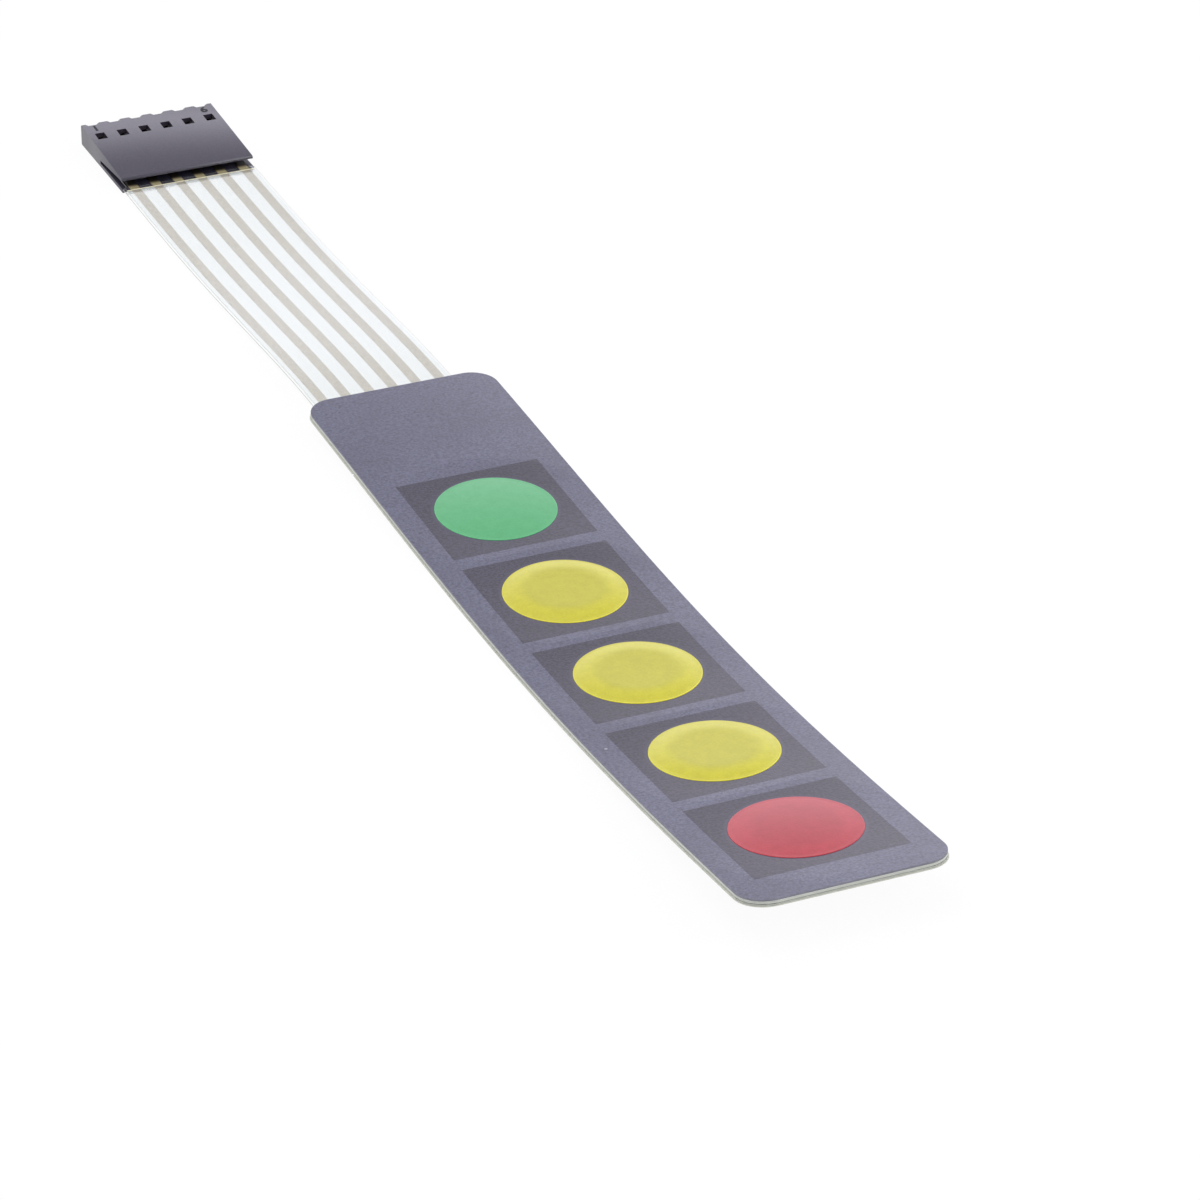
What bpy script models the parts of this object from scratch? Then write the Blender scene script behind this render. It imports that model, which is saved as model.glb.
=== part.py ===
"""Five-key membrane keypad with a flat tail and a six-way receptacle.

The panel is a stack of thin films. Each film is drawn flat, in (x across, s along, h up from the
underside of the circuit film), then cut at a row of stations and laid along one gently bowed line,
so that every layer, key and track follows the same bend. The panel rests on its lowest line and the
receptacle's flat base, the origin is below the middle of the whole part, and +Y runs to the
receptacle. Units are metres.
"""
import bpy
import bmesh
from math import acos, asin, atan2, cos, hypot, pi, radians, sin, tan
from mathutils import Matrix, Vector

MM = 0.001

# Panel outline and its bow
PANEL_WIDTH = 20.0 * MM
PANEL_LENGTH = 106.0 * MM
PANEL_CORNER = 2.8 * MM
BOW_MEAN = radians(-2.2)
BOW_SWING = radians(4.44)
BOW_CENTRE = 44.0 * MM
BOW_HALF_WAVE = 88.0 * MM
PANEL_FACET = 5.3 * MM

# Keys, from the near end: one round dome every pitch
KEYS = ("red", "yellow_3", "yellow_2", "yellow_1", "green")
KEY_PITCH = 17.0 * MM
FIRST_KEY = 11.6 * MM
KEY_RADIUS = 6.0 * MM
KEY_RISE = 0.42 * MM
KEY_TRAVEL = 0.25 * MM
KEY_RIM_GAP = 0.05 * MM
FLAT_CROWN = {"red": 0.0, "yellow_3": 3.4 * MM, "yellow_2": 3.4 * MM, "yellow_1": 3.4 * MM, "green": 0.0}
KEY_RIM = 0.25 * MM
KEY_LIP = 0.06 * MM
KEY_FIELD = 15.0 * MM
CROWN_STEPS = 4

# Films, from the top down, and the gap kept between them; the spacer's thickness follows from the
# keys' travel, so that a pressed key stops at the press floor, just over the tracks
OVERLAY = 0.18 * MM
OVERLAY_ADHESIVE = 0.05 * MM
PRESS_FLOOR = 0.024 * MM
TRACK = 0.015 * MM
CIRCUIT_FILM = 0.10 * MM
REAR_ADHESIVE = 0.04 * MM
LINER = 0.06 * MM
TAIL_COVER = 0.04 * MM
LAYER_GAP = 0.008 * MM

# The release liner, slit across near its far end to leave a short tab to peel it by
LINER_MARGIN = 0.10 * MM
LINER_TAB = 14.0 * MM
LINER_SLIT = 0.30 * MM

# Holes in the inner layers, and what lies in them
HOLE_MARGIN = 0.35 * MM
HOLE_RADIUS = KEY_RADIUS + HOLE_MARGIN
VENT_WIDTH = 1.2 * MM
DOME_MARGIN = 1.1 * MM
DOME_RADIUS = KEY_RADIUS - DOME_MARGIN
DOME_METAL = 0.06 * MM
DOME_FOOT = 0.45 * MM
DOME_CLEARANCE = 0.02 * MM

# Printed tracks: the rings lie under the domes' feet, the outer lines keep a margin to the film's
# edge, and the fan takes the room between the far key and the tail
RING_INSET = 0.25 * MM
RING_RADIUS = DOME_RADIUS - RING_INSET
RING_WIDTH = 0.8 * MM
RING_MOUTH = 1.0 * MM
RING_APPROACH = 1.6 * MM
PAD_RADIUS = 1.3 * MM
LINE_WIDTH = 0.4 * MM
LINE_PITCH = 0.8 * MM
LINE_MARGIN = 0.4 * MM
OUTER_LINE = LINE_MARGIN + LINE_WIDTH / 2 - PANEL_WIDTH / 2
COMMON_WIDTH = 0.8 * MM
COMMON_LINE = PANEL_WIDTH / 2 - LINE_MARGIN - COMMON_WIDTH / 2
FAN_CLEARANCE = 3.0 * MM
FAN_START = 1.5 * MM

# Tail
WAYS = 6
PITCH = 2.54 * MM
TAIL_WIDTH = WAYS * PITCH
TAIL_OFFSET = -1.2 * MM
TAIL_LENGTH = 58.0 * MM
TAIL_TRACK = 1.05 * MM
TAIL_SAG = 0.47 * MM
TAIL_END_ANGLE = radians(1.0)
TAIL_FACET = 3.6 * MM
COVER_INSET = 0.25 * MM
COVER_START_GAP = 0.05 * MM
COVER_END_GAP = 0.05 * MM

# Receptacle housing: a wedge whose cover and base pinch the tail
HOUSING_DEPTH = 13.9 * MM
HOUSING_FRONT = 2.35 * MM
HOUSING_REAR = 1.58 * MM
COVER_PLATE = 0.30 * MM
COVER_SETBACK = 0.35 * MM
BASE_PLATE = 0.40 * MM
SLOT_DEPTH = 7.5 * MM
SLOT_THROAT = 0.36 * MM
HOUSING_EDGE = 0.12 * MM
CAVITY_WIDTH = 1.5 * MM
CAVITY_STEP = 0.06 * MM
CAVITY_FLOOR = BASE_PLATE + CAVITY_STEP
ROOF_WALL = 0.69 * MM
CAVITY_ROOF = HOUSING_FRONT - ROOF_WALL
FRONT_WALL = 0.85 * MM
PIN_ENTRY = 0.86 * MM
PIN_RISE = 0.56 * MM
PIN_HEIGHT = CAVITY_FLOOR + PIN_RISE
LEAD_IN = 1.42 * MM
LEAD_DEPTH = 0.35 * MM
WINDOW_WIDTH = 1.09 * MM
WINDOW_START = 2.53 * MM
WINDOW_LENGTH = 1.42 * MM
WINDOW_END = WINDOW_START + WINDOW_LENGTH
DIP_WIDTH = 1.05 * MM
DIP_SIDE = 0.30 * MM
DIP_DEPTH = 0.24 * MM
DIP_LENGTH = 0.55 * MM
FILM_END_GAP = 0.3 * MM

# Contacts: a springy fork for the pin, and a strip that lies on the track
CONTACT_WIDTH = 0.9 * MM
CONTACT_METAL = 0.15 * MM
CONTACT_SEAT = 0.02 * MM
FORK_CLEARANCE = 0.16 * MM
FORK_TOP = CAVITY_ROOF - FORK_CLEARANCE
FORK_BEND = 0.24 * MM
FORK_PINCH = FORK_TOP - FORK_BEND
CONTACT_TAIL = 2.6 * MM
FOLD_GAP = 0.30 * MM
TIP_GAP = 0.15 * MM

# Facets of round shapes, the sharpest edge shaded smooth, and the reach of a cutter past its face
ROUND_SIDES = 36
RING_STEP = radians(18.0)
SMOOTH_ANGLE = radians(25.0)
CUT_OVERRUN = 0.24 * MM
WELD = 1.0e-6
CUT_SNAP = 1.0e-7

# Heights in the stack, over the underside of the circuit film
TRACK_BOTTOM = CIRCUIT_FILM + LAYER_GAP
TRACK_TOP = TRACK_BOTTOM + TRACK
OVERLAY_BOTTOM = TRACK_TOP + PRESS_FLOOR + KEY_TRAVEL
ADHESIVE_BOTTOM = OVERLAY_BOTTOM - LAYER_GAP - OVERLAY_ADHESIVE
SPACER_BOTTOM = TRACK_TOP + LAYER_GAP
SPACER = ADHESIVE_BOTTOM - LAYER_GAP - SPACER_BOTTOM
REAR_BOTTOM = -LAYER_GAP - REAR_ADHESIVE
LINER_BOTTOM = REAR_BOTTOM - LAYER_GAP - LINER


def clear_scene():
    for item in list(bpy.data.objects):
        bpy.data.objects.remove(item, do_unlink=True)


def make_collection(name):
    collection = bpy.data.collections.new(name)
    bpy.context.scene.collection.children.link(collection)
    return collection


def material(name, colour, roughness, metallic=0.0, alpha=1.0):
    """A plain Principled material for one kind of piece."""
    made = bpy.data.materials.new(name)
    made.use_nodes = True
    shader = made.node_tree.nodes["Principled BSDF"]
    shader.inputs["Base Color"].default_value = (*colour, 1.0)
    shader.inputs["Roughness"].default_value = roughness
    shader.inputs["Metallic"].default_value = metallic
    shader.inputs["Alpha"].default_value = alpha
    made.diffuse_color = (*colour, alpha)
    return made


# The bowed line along which the strip is laid

def panel_angle(s):
    return BOW_MEAN + BOW_SWING * sin(pi * (s - BOW_CENTRE) / BOW_HALF_WAVE)


def panel_stations():
    """Station places (s, y, z) along the circuit film's underside, from the near end."""
    count = max(8, round(PANEL_LENGTH / PANEL_FACET))
    step = PANEL_LENGTH / count
    stations = [(0.0, 0.0, 0.0)]
    for i in range(count):
        s, y, z = stations[-1]
        angle = panel_angle(s + step / 2)
        stations.append((s + step, y + step * cos(angle), z + step * sin(angle)))
    return stations


def tail_stations(start, end_height):
    """The tail: a smooth curve from the panel's end to the receptacle's base plate, with some sag."""
    s0, y0, z0 = start
    count = max(8, round(TAIL_LENGTH / TAIL_FACET))
    rise_start = tan(panel_angle(PANEL_LENGTH)) * TAIL_LENGTH
    rise_end = tan(TAIL_END_ANGLE) * TAIL_LENGTH
    stations = []
    for i in range(1, count + 1):
        t = i / count
        z = (2 * t**3 - 3 * t**2 + 1) * z0 + (t**3 - 2 * t**2 + t) * rise_start
        z += (3 * t**2 - 2 * t**3) * end_height + (t**3 - t**2) * rise_end
        z -= TAIL_SAG * 16 * t**2 * (1 - t) ** 2
        stations.append((s0 + t * TAIL_LENGTH, y0 + t * TAIL_LENGTH, z))
    return stations


class Bow:
    """Maps flat (x, s, h) to the bowed strip, one flat facet between each pair of stations."""

    def __init__(self):
        panel = panel_stations()
        lowest = self.lowest_underside(panel)
        panel = [(s, y, z - lowest) for s, y, z in panel]
        film_seat = BASE_PLATE + LAYER_GAP
        line = panel + tail_stations(panel[-1], film_seat)
        s, y, z = line[-1]
        line.append((s + HOUSING_DEPTH, y + HOUSING_DEPTH, film_seat))
        self.places = [s for s, y, z in line]
        self.points = [Vector((y, z)) for s, y, z in line]
        self.offsets = self.mitres(line)
        near = self.place(0.0, -LINER_MARGIN, LINER_BOTTOM).y
        middle = Vector(((near + self.points[-1].x) / 2, 0.0))
        self.points = [point - middle for point in self.points]
        self.housing_rear = self.points[-2].x

    @staticmethod
    def mitres(line):
        """Offset direction at each station, in (y, z), so that offset facets stay parallel."""
        normals = []
        for (s0, y0, z0), (s1, y1, z1) in zip(line, line[1:]):
            length = hypot(y1 - y0, z1 - z0)
            normals.append(Vector((-(z1 - z0) / length, (y1 - y0) / length)))
        mitred = [normals[0]]
        for a, b in zip(normals, normals[1:]):
            mitred.append((a + b) / (1.0 + a.dot(b)))
        return mitred + [normals[-1]]

    def lowest_underside(self, line):
        return min(p[2] + m.y * LINER_BOTTOM for p, m in zip(line, self.mitres(line)))

    def facet(self, s):
        for i in range(len(self.places) - 2):
            if s < self.places[i + 1]:
                return i
        return len(self.places) - 2

    def place(self, x, s, h):
        i = self.facet(s)
        t = (s - self.places[i]) / (self.places[i + 1] - self.places[i])
        point = self.points[i].lerp(self.points[i + 1], t)
        offset = self.offsets[i].lerp(self.offsets[i + 1], t)
        return Vector((x, point.x + offset.x * h, point.y + offset.y * h))

    def tilt(self, s):
        """Angle of the facet at s, about +X."""
        i = self.facet(s)
        run = self.points[i + 1] - self.points[i]
        return asin(run.y / run.length)

    def bend(self, mesh_data):
        """Cuts a flat mesh at each station and moves it to its place on the strip."""
        low = min(v.co.y for v in mesh_data.verts)
        high = max(v.co.y for v in mesh_data.verts)
        for s in self.places[1:-1]:
            if low + WELD < s < high - WELD:
                everything = mesh_data.verts[:] + mesh_data.edges[:] + mesh_data.faces[:]
                bmesh.ops.bisect_plane(
                    mesh_data, geom=everything, dist=CUT_SNAP, plane_co=(0, s, 0), plane_no=(0, 1, 0)
                )
        bmesh.ops.remove_doubles(mesh_data, verts=mesh_data.verts, dist=WELD)
        for v in mesh_data.verts:
            v.co = self.place(v.co.x, v.co.y, v.co.z)


# Flat outlines, as lists of (x, s)

def arc(centre, radius, start, end, step=RING_STEP):
    """Points along an arc, both ends included."""
    count = max(2, round(abs(end - start) / step))
    angles = [start + (end - start) * i / count for i in range(count + 1)]
    return [(centre[0] + radius * cos(a), centre[1] + radius * sin(a)) for a in angles]


def circle(centre, radius, sides=ROUND_SIDES):
    return arc(centre, radius, 0.0, 2 * pi, 2 * pi / sides)[:-1]


def key_place(index):
    return FIRST_KEY + index * KEY_PITCH


def panel_outline(margin=0.0):
    """The panel's rounded rectangle, anticlockwise from the near right corner."""
    half = PANEL_WIDTH / 2 - PANEL_CORNER
    radius = PANEL_CORNER + margin
    corners = (
        (half, PANEL_CORNER, -pi / 2),
        (half, PANEL_LENGTH - PANEL_CORNER, 0.0),
        (-half, PANEL_LENGTH - PANEL_CORNER, pi / 2),
        (-half, PANEL_CORNER, pi),
    )
    outline = []
    for x, s, start in corners:
        outline += arc((x, s), radius, start, start + pi / 2)
    return outline


def liner_outlines():
    """The liner's long piece and its peel tab, either side of the slit across the panel's outline."""
    outline = panel_outline(LINER_MARGIN)
    slit = PANEL_LENGTH - LINER_TAB
    side = PANEL_WIDTH / 2 + LINER_MARGIN
    near = slit - LINER_SLIT / 2
    far = slit + LINER_SLIT / 2
    long_piece = [(side, near), (-side, near)] + [(x, s) for x, s in outline if s < near and x < 0]
    long_piece += [(x, s) for x, s in outline if s < near and x >= 0]
    tab = [(-side, far), (side, far)] + [(x, s) for x, s in outline if s > far]
    return long_piece, tab


def film_outline():
    """The circuit film: the panel's outline, running on into the tail at its far end."""
    half = PANEL_WIDTH / 2 - PANEL_CORNER
    far = PANEL_LENGTH - PANEL_CORNER
    tail_end = PANEL_LENGTH + TAIL_LENGTH + SLOT_DEPTH - FILM_END_GAP
    outline = arc((half, PANEL_CORNER), PANEL_CORNER, -pi / 2, 0.0)
    sides = []
    for side in (1, -1):
        tail_edge = side * TAIL_OFFSET + TAIL_WIDTH / 2
        if tail_edge >= PANEL_WIDTH / 2:
            corner = [(PANEL_WIDTH / 2, PANEL_LENGTH), (tail_edge, PANEL_LENGTH)]
        elif tail_edge > half:
            corner = arc((half, far), PANEL_CORNER, 0.0, acos((tail_edge - half) / PANEL_CORNER))
        else:
            corner = arc((half, far), PANEL_CORNER, 0.0, pi / 2) + [(tail_edge, PANEL_LENGTH)]
        corner.append((tail_edge, tail_end))
        sides.append([(side * x, s) for x, s in corner])
    outline += sides[0]
    outline += sides[1][::-1]
    outline += arc((-half, PANEL_CORNER), PANEL_CORNER, pi, 3 * pi / 2)
    return outline


def vented_holes():
    """One outline: a round hole at each key, joined by vent channels."""
    mouth = asin(VENT_WIDTH / 2 / HOLE_RADIUS)
    right = []
    for i in range(len(KEYS)):
        start = -pi / 2 if i == 0 else -pi / 2 + mouth
        end = pi / 2 if i == len(KEYS) - 1 else pi / 2 - mouth
        right += arc((0.0, key_place(i)), HOLE_RADIUS, start, end)
    left = [(-x, s) for x, s in right[::-1]][1:-1]
    return right + left


def wire_outline(points, pad=0.0):
    """Outline of a printed line through (x, s, width) points, with a round pad round its last point."""
    left = []
    right = []
    for i, (x, s, width) in enumerate(points):
        here = Vector((x, s))
        before = here - Vector(points[max(i - 1, 0)][:2])
        after = Vector(points[min(i + 1, len(points) - 1)][:2]) - here
        a = (before if i else after).normalized()
        b = (after if i < len(points) - 1 else before).normalized()
        side = Vector((-(a.y + b.y), a.x + b.x)) / (1.0 + a.dot(b))
        left.append(tuple(here + side * width / 2))
        right.append(tuple(here - side * width / 2))
    if pad:
        heading = atan2(a.y, a.x)
        back = asin(width / 2 / pad)
        right[-1:] = arc((x, s), pad, heading + pi + back, heading + 3 * pi - back)
        left.pop()
    return right + left[::-1]


def way_place(way):
    """Place of one of the tail's ways across the strip."""
    return TAIL_OFFSET + (way - (WAYS - 1) / 2) * PITCH


def track_end():
    return PANEL_LENGTH + TAIL_LENGTH + SLOT_DEPTH - 2 * FILM_END_GAP


def fan_near_end():
    return key_place(len(KEYS) - 1) + FAN_CLEARANCE


def key_line_outline(index):
    """A key's own track: tail, fan, side line and centre pad. The far key's comes straight in."""
    fan = PANEL_LENGTH - FAN_START
    centre = key_place(index)
    points = [(way_place(index), track_end(), TAIL_TRACK), (way_place(index), fan, TAIL_TRACK)]
    if index == len(KEYS) - 1:
        points.append((0.0, centre + RING_RADIUS + RING_APPROACH, LINE_WIDTH))
    else:
        side = OUTER_LINE + index * LINE_PITCH
        points.append((side, fan_near_end(), LINE_WIDTH))
        points.append((side, centre, LINE_WIDTH))
    points.append((0.0, centre, LINE_WIDTH))
    return wire_outline(points, PAD_RADIUS)


def common_outline():
    """The common track: a spine up the right side, with a C-shaped ring round each key's pad."""
    inner = COMMON_LINE - COMMON_WIDTH / 2
    outer = COMMON_LINE + COMMON_WIDTH / 2
    fan = PANEL_LENGTH - FAN_START
    tail_x = way_place(WAYS - 1)
    near = FIRST_KEY - COMMON_WIDTH
    outline = [
        (inner, near),
        (outer, near),
        (outer, fan_near_end()),
        (tail_x + TAIL_TRACK / 2, fan),
        (tail_x + TAIL_TRACK / 2, track_end()),
        (tail_x - TAIL_TRACK / 2, track_end()),
        (tail_x - TAIL_TRACK / 2, fan),
        (inner, fan_near_end()),
    ]
    large = RING_RADIUS + RING_WIDTH / 2
    small = RING_RADIUS - RING_WIDTH / 2
    branch = asin(COMMON_WIDTH / 2 / large)
    gap_large = asin(RING_MOUTH / 2 / large)
    gap_small = asin(RING_MOUTH / 2 / small)
    for index in range(len(KEYS) - 1, -1, -1):
        centre = (0.0, key_place(index))
        mouth = pi / 2 if index == len(KEYS) - 1 else pi
        outline.append((inner, centre[1] + COMMON_WIDTH / 2))
        outline += arc(centre, large, branch, mouth - gap_large)
        outline += arc(centre, small, mouth - gap_small, mouth + gap_small - 2 * pi)
        outline += arc(centre, large, mouth + gap_large - 2 * pi, -branch)
        outline.append((inner, centre[1] - COMMON_WIDTH / 2))
    return outline


# Solids, as bmeshes

def flat_solid(outlines, thickness):
    """A flat solid on z = 0 from closed outlines: the first is the edge, the rest are holes."""
    curve = bpy.data.curves.new("outline", "CURVE")
    curve.dimensions = "2D"
    curve.fill_mode = "BOTH"
    curve.extrude = thickness / 2
    for outline in outlines:
        spline = curve.splines.new("POLY")
        spline.points.add(len(outline) - 1)
        spline.use_cyclic_u = True
        for point, (x, y) in zip(spline.points, outline):
            point.co = (x, y, 0.0, 1.0)
    drawn = bpy.data.objects.new("outline", curve)
    bpy.context.scene.collection.objects.link(drawn)
    graph = bpy.context.evaluated_depsgraph_get()
    data = bpy.data.meshes.new_from_object(drawn.evaluated_get(graph))
    solid = bmesh.new()
    solid.from_mesh(data)
    bpy.data.objects.remove(drawn, do_unlink=True)
    bpy.data.curves.remove(curve)
    bpy.data.meshes.remove(data)
    bmesh.ops.remove_doubles(solid, verts=solid.verts, dist=WELD)
    bmesh.ops.translate(solid, verts=solid.verts, vec=(0, 0, thickness / 2))
    return solid


def side_solid(outline, width):
    """A solid of one side outline (y, z), carried along x by its width, centred on x = 0."""
    solid = flat_solid([outline], width)
    turn = Matrix(((0, 0, 1, -width / 2), (1, 0, 0, 0), (0, 1, 0, 0), (0, 0, 0, 1)))
    bmesh.ops.transform(solid, matrix=turn, verts=solid.verts)
    return solid


def turned_solid(profile, sides=ROUND_SIDES):
    """A solid turned about z from a profile of (radius, height) points that starts and ends on z."""
    data = bpy.data.meshes.new("profile")
    points = [(r, 0.0, z) for r, z in profile]
    data.from_pydata(points, [(i, i + 1) for i in range(len(points) - 1)], [])
    drawn = bpy.data.objects.new("profile", data)
    bpy.context.scene.collection.objects.link(drawn)
    screw = drawn.modifiers.new("Turn", "SCREW")
    screw.steps = sides
    screw.render_steps = sides
    screw.use_merge_vertices = True
    screw.merge_threshold = WELD
    graph = bpy.context.evaluated_depsgraph_get()
    turned = bpy.data.meshes.new_from_object(drawn.evaluated_get(graph))
    solid = bmesh.new()
    solid.from_mesh(turned)
    bpy.data.objects.remove(drawn, do_unlink=True)
    bpy.data.meshes.remove(data)
    bpy.data.meshes.remove(turned)
    bmesh.ops.remove_doubles(solid, verts=solid.verts, dist=WELD)
    return solid


def add_box(solid, low, high):
    centre = (Vector(low) + Vector(high)) / 2
    size = Vector(high) - Vector(low)
    place = Matrix.Translation(centre) @ Matrix.Diagonal((*size, 1.0))
    bmesh.ops.create_cube(solid, size=1.0, matrix=place)


def add_object(name, solid, collection, finish=None, parent=None):
    """Makes an object of a solid given in world space, and hangs it on a parent where it has one."""
    bmesh.ops.recalc_face_normals(solid, faces=solid.faces)
    made = bpy.data.objects.new(name, bpy.data.meshes.new(name))
    if parent:
        made.parent = parent
        bmesh.ops.transform(solid, matrix=parent.matrix_basis.inverted(), verts=solid.verts)
    solid.to_mesh(made.data)
    solid.free()
    if finish:
        made.data.materials.append(finish)
    made.data.shade_smooth()
    made.data.set_sharp_from_angle(angle=SMOOTH_ANGLE)
    collection.objects.link(made)
    return made


# The panel's pieces

def add_layer(name, outlines, bottom, thickness, finish):
    solid = flat_solid(outlines, thickness)
    bmesh.ops.translate(solid, verts=solid.verts, vec=(0, 0, bottom))
    bow.bend(solid)
    return add_object(name, solid, parts, finish)


def add_overlay(finish, field_finish):
    """The overlay, with its print: a darker square field round each key."""
    windows = [circle((0.0, key_place(i)), KEY_RADIUS + KEY_RIM_GAP) for i in range(len(KEYS))]
    solid = flat_solid([panel_outline()] + windows, OVERLAY)
    half = KEY_FIELD / 2
    edges = [((x, 0, 0), (1, 0, 0)) for x in (-half, half)]
    for i in range(len(KEYS)):
        edges += [((0, key_place(i) + side * half, 0), (0, 1, 0)) for side in (-1, 1)]
    for place, direction in edges:
        everything = solid.verts[:] + solid.edges[:] + solid.faces[:]
        bmesh.ops.bisect_plane(solid, geom=everything, dist=CUT_SNAP, plane_co=place, plane_no=direction)
    for face in solid.faces:
        middle = face.calc_center_median()
        beside = abs(middle.x) < half
        along = min(abs(middle.y - key_place(i)) for i in range(len(KEYS))) < half
        face.material_index = int(beside and along and face.normal.z > 0.5)
    bmesh.ops.translate(solid, verts=solid.verts, vec=(0, 0, OVERLAY_BOTTOM))
    bow.bend(solid)
    overlay = add_object("graphic_overlay", solid, parts, finish)
    overlay.data.materials.append(field_finish)


def crown(radius, flat):
    """Height of a key's dome over the overlay: it steps up by the lip at its rim, then swells to its
    crown, which is flat in the middle where the key has a flat crown."""
    edge = KEY_RADIUS - KEY_RIM
    if radius >= edge:
        return KEY_LIP
    share = max(0.0, radius - flat) / (edge - flat)
    return KEY_LIP + (KEY_RISE - KEY_LIP) * (1.0 - share**2)


def add_key(index, finish):
    """A domed key, on an empty at its centre whose Z axis is the key's travel."""
    name = "key_" + KEYS[index]
    flat = FLAT_CROWN[KEYS[index]]
    edge = KEY_RADIUS - KEY_RIM
    slope = [flat + (edge - flat) * step / CROWN_STEPS for step in range(CROWN_STEPS + 1)]
    rings = [0.0] + slope if flat else slope
    top = [(r, OVERLAY + crown(r, flat)) for r in rings]
    under = [(r, crown(r, flat)) for r in (0.0, flat or edge / 2, edge)]
    profile = top + [(KEY_RADIUS, OVERLAY + KEY_LIP), (KEY_RADIUS, 0.0)] + under[::-1]
    solid = turned_solid(profile)
    centre = key_place(index)
    bmesh.ops.translate(solid, verts=solid.verts, vec=(0, centre, OVERLAY_BOTTOM))
    bow.bend(solid)
    axis = bpy.data.objects.new(name + "_axis", None)
    axis.location = bow.place(0.0, centre, OVERLAY_BOTTOM)
    axis.rotation_euler = (bow.tilt(centre), 0.0, 0.0)
    axis.empty_display_size = KEY_RADIUS
    parts.objects.link(axis)
    bpy.context.view_layer.update()
    add_object(name, solid, parts, finish, axis)


def add_snap_dome(index, finish):
    """A sprung metal dome, its foot on the common ring and its crown just under the key."""
    seat = TRACK_TOP + LAYER_GAP
    rise = OVERLAY_BOTTOM + KEY_RISE - DOME_CLEARANCE - DOME_METAL - seat
    foot = DOME_RADIUS - DOME_FOOT
    curve = [(foot * share, rise * (1.0 - share**2)) for share in (0.0, 0.5, 1.0)]
    over = [(r, z + DOME_METAL) for r, z in curve] + [(DOME_RADIUS, DOME_METAL)]
    under = [(DOME_RADIUS, 0.0)] + curve[::-1]
    solid = turned_solid(over + under, ROUND_SIDES // 2)
    bmesh.ops.translate(solid, verts=solid.verts, vec=(0, key_place(index), seat))
    bow.bend(solid)
    add_object("snap_dome_" + KEYS[index], solid, parts, finish)


def add_films():
    holes = [circle((0.0, key_place(i)), HOLE_RADIUS) for i in range(len(KEYS))]
    add_layer("overlay_adhesive", [panel_outline()] + holes, ADHESIVE_BOTTOM, OVERLAY_ADHESIVE, clear_glue)
    add_layer("dome_spacer", [panel_outline(), vented_holes()], SPACER_BOTTOM, SPACER, spacer_film)
    add_layer("circuit_film", [film_outline()], 0.0, CIRCUIT_FILM, clear_film)
    add_layer("rear_adhesive", [panel_outline()], REAR_BOTTOM, REAR_ADHESIVE, clear_glue)
    long_piece, tab = liner_outlines()
    add_layer("release_liner", [long_piece], LINER_BOTTOM, LINER, liner_paper)
    add_layer("liner_tab", [tab], LINER_BOTTOM, LINER, liner_paper)
    for index, key in enumerate(KEYS):
        add_layer("track_" + key, [key_line_outline(index)], TRACK_BOTTOM, TRACK, silver_print)
    add_layer("track_common", [common_outline()], TRACK_BOTTOM, TRACK, silver_print)
    left = TAIL_OFFSET - TAIL_WIDTH / 2 + COVER_INSET
    right = TAIL_OFFSET + TAIL_WIDTH / 2 - COVER_INSET
    start = PANEL_LENGTH + COVER_START_GAP
    end = PANEL_LENGTH + TAIL_LENGTH - COVER_END_GAP
    cover = [(left, start), (right, start), (right, end), (left, end)]
    add_layer("tail_cover", [cover], SPACER_BOTTOM, TAIL_COVER, clear_film)


# The receptacle, in its own (x, y, z) with y from its rear edge forward, then moved to the tail's end

def housing_top(y):
    """Height of the wedge's top face at y."""
    share = (y - COVER_SETBACK) / (HOUSING_DEPTH - COVER_SETBACK)
    return HOUSING_REAR + share * (HOUSING_FRONT - HOUSING_REAR)


def housing_profile():
    """Side outline: base plate, front block and cover plate round the tapered slot."""
    edge = HOUSING_EDGE
    return [
        (edge, 0.0),
        (HOUSING_DEPTH - edge, 0.0),
        (HOUSING_DEPTH, edge),
        (HOUSING_DEPTH, HOUSING_FRONT - edge),
        (HOUSING_DEPTH - edge, housing_top(HOUSING_DEPTH - edge)),
        (COVER_SETBACK + edge, housing_top(COVER_SETBACK + edge)),
        (COVER_SETBACK, HOUSING_REAR - edge),
        (COVER_SETBACK, HOUSING_REAR - COVER_PLATE),
        (SLOT_DEPTH, BASE_PLATE + SLOT_THROAT),
        (SLOT_DEPTH, BASE_PLATE),
        (0.0, BASE_PLATE),
        (0.0, edge),
    ]


def each_way(make_one):
    """One solid holding a copy of a shape at each way of the receptacle."""
    solid = bmesh.new()
    for way in range(WAYS):
        make_one(solid, (way - (WAYS - 1) / 2) * PITCH)
    return solid


def cavity_cut(solid, x):
    """The room round a contact, open to the slot behind it."""
    low = (x - CAVITY_WIDTH / 2, SLOT_DEPTH - CUT_OVERRUN, CAVITY_FLOOR)
    add_box(solid, low, (x + CAVITY_WIDTH / 2, HOUSING_DEPTH - FRONT_WALL, CAVITY_ROOF))


def entry_cut(solid, x):
    """The square hole for a pin, through the front wall."""
    half = PIN_ENTRY / 2
    low = (x - half, HOUSING_DEPTH - FRONT_WALL - CUT_OVERRUN, PIN_HEIGHT - half)
    add_box(solid, low, (x + half, HOUSING_DEPTH + CUT_OVERRUN, PIN_HEIGHT + half))


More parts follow.
